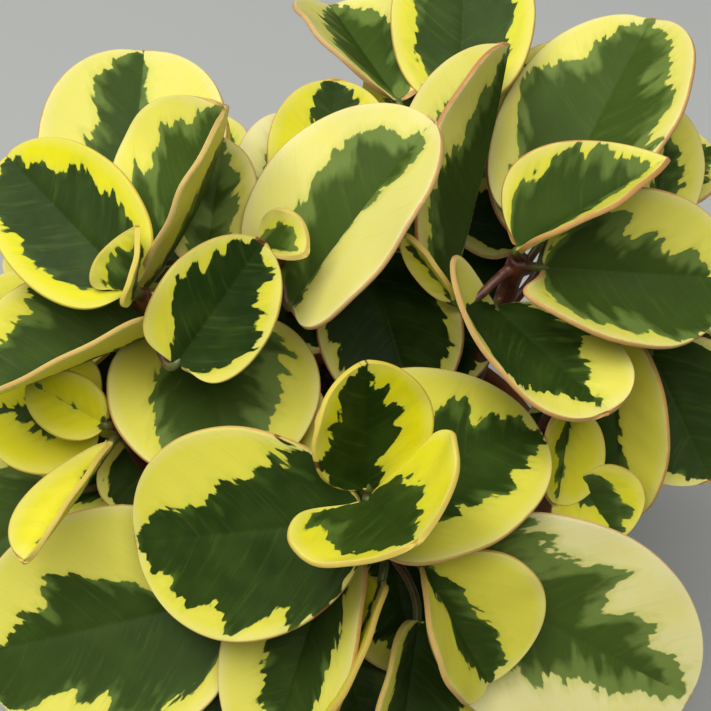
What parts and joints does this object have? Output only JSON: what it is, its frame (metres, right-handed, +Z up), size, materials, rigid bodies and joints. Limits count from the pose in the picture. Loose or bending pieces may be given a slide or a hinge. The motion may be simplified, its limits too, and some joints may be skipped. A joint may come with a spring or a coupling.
{
  "type": "potted peperomia",
  "caption": "Round tapered pot of soil with upright stems of thick rounded waxy leaves, feathered green in the middle with a cream to yellow margin.",
  "frame": {"origin": "centre of the pot's underside", "axes": "+Z up, -Y towards the picture's camera, +X to its right"},
  "size_m": [0.2874, 0.271, 0.297],
  "materials": {
    "clay": "matt fired clay",
    "soil": "crumbly dark potting soil, mostly bark and peat",
    "leaf": "thick waxy leaf, green inside a cream to yellow margin"
  },
  "bodies": {
    "root": {"pot": "clay", "soil": "soil", "leafy_stem_a": "leaf", "leafy_stem_b": "leaf", "leafy_stem_c": "leaf", "leafy_stem_d": "leaf", "leafy_stem_e": "leaf", "leafy_stem_f": "leaf", "leafy_stem_g": "leaf", "leafy_stem_h": "leaf", "leafy_stem_i": "leaf", "leafy_stem_j": "leaf", "leafy_stem_k": "leaf"}
  },
  "joints": []
}
